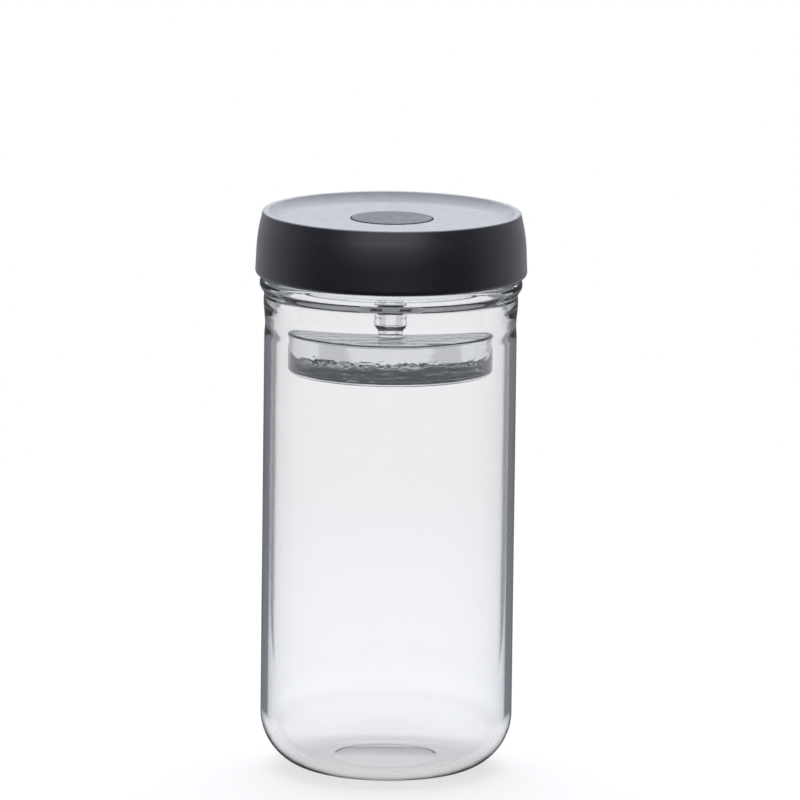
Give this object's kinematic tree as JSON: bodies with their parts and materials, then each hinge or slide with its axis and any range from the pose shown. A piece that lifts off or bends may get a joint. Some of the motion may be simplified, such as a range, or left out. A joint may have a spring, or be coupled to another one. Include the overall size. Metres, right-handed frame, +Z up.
{
  "type": "fermentation jar",
  "caption": "Tall clear glass jar with a black screw lid, a round press button that vents gas, and a knobbed glass weight held under the lid.",
  "frame": {"origin": "on the jar's axis, at the surface that the jar stands on", "axes": "+Z up along the jar's axis, from the base to the lid"},
  "size_m": [0.1092, 0.1092, 0.227],
  "materials": {
    "clear_glass": "clear, fire polished",
    "lid_plastic": "moulded black polypropylene, satin",
    "inner_plastic": "moulded milky polypropylene, polished",
    "button_plastic": "moulded, fine matt",
    "spring_steel": "drawn stainless wire",
    "silicone": "translucent grey, matt",
    "dark_silicone": "black, matt"
  },
  "bodies": {
    "jar": {"glass_jar": "clear_glass"},
    "inner_lid": {"inner_disc": "inner_plastic", "lid_seal": "silicone", "valve_cage": "inner_plastic", "weight_grip": "dark_silicone"},
    "screw_cap": {"lid_shell": "lid_plastic", "button_spring": "spring_steel"},
    "vent": {"vent_button": "button_plastic", "valve_stem": "lid_plastic", "valve_gasket": "silicone", "vent_flap": "silicone"},
    "weight": {"glass_weight": "clear_glass"}
  },
  "joints": [
    {"name": "lid_rise", "type": "slide", "parent": "jar", "child": "inner_lid", "axis": [0, 0, 1], "range_m": [0, 0.0068]},
    {"name": "lid_turn", "type": "hinge", "parent": "inner_lid", "child": "screw_cap", "pos_m": [0, 0, 0.2137], "axis": [0, 0, 1], "range_deg": [0, 405]},
    {"name": "vent_press", "type": "slide", "parent": "screw_cap", "child": "vent", "axis": [0, 0, -1], "range_m": [0, 0.002], "stiffness_N_per_m": 400, "springref_m": -0.003, "deforming": ["button_spring"]},
    {"name": "weight_drop", "type": "slide", "parent": "inner_lid", "child": "weight", "axis": [0, 0, -1], "range_m": [0, 0.1526]}
  ],
  "couplings": [
    {"joint": "lid_rise", "follows": "lid_turn", "m_per_rad": 0.00095493}
  ]
}
